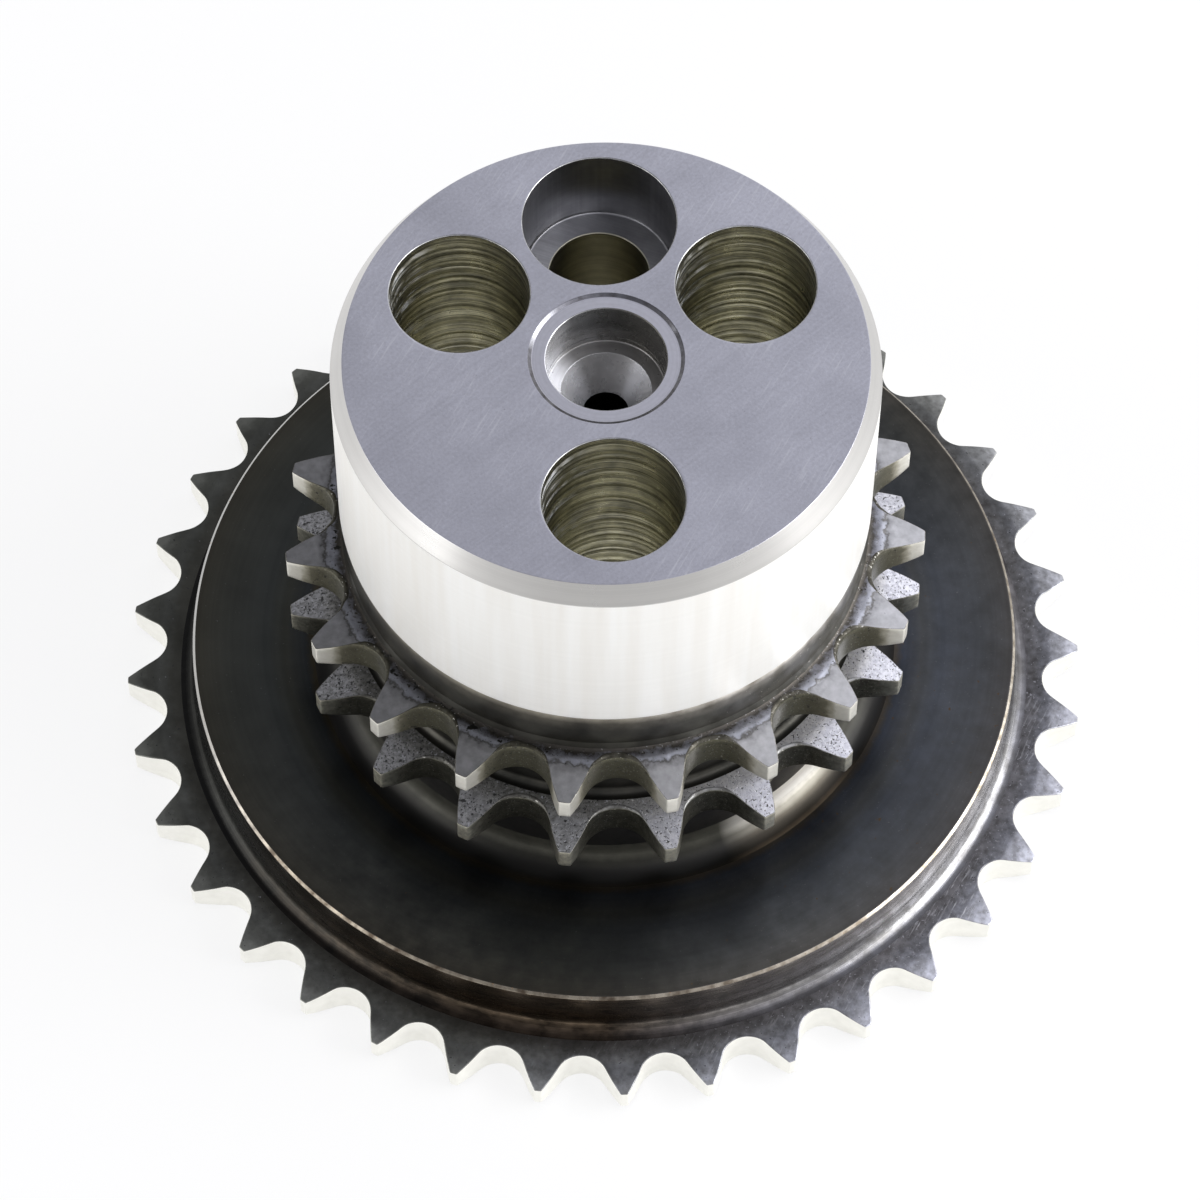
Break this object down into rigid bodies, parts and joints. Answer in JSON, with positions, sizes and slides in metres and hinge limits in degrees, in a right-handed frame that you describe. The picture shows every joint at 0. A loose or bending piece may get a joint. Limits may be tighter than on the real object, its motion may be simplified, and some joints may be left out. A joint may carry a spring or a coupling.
{
  "type": "crankshaft sprocket",
  "caption": "Crankshaft sprocket in one piece: a ground hub with bolt holes, a pair of toothed rows for a double timing chain, and a disc with a larger ring of fine teeth.",
  "frame": {"origin": "centre of the flat back face, on the axis", "axes": "+Z along the axis from the back face to the hub's end face; +Y towards the counterbored screw hole, where all three rows of teeth have a tooth"},
  "size_m": [0.0942, 0.0942, 0.0582],
  "materials": {
    "steel": "ground bare steel on the hub and the tooth flanks, black heat-treatment scale elsewhere"
  },
  "bodies": {
    "root": {"crankshaft_sprocket": "steel"}
  },
  "joints": []
}
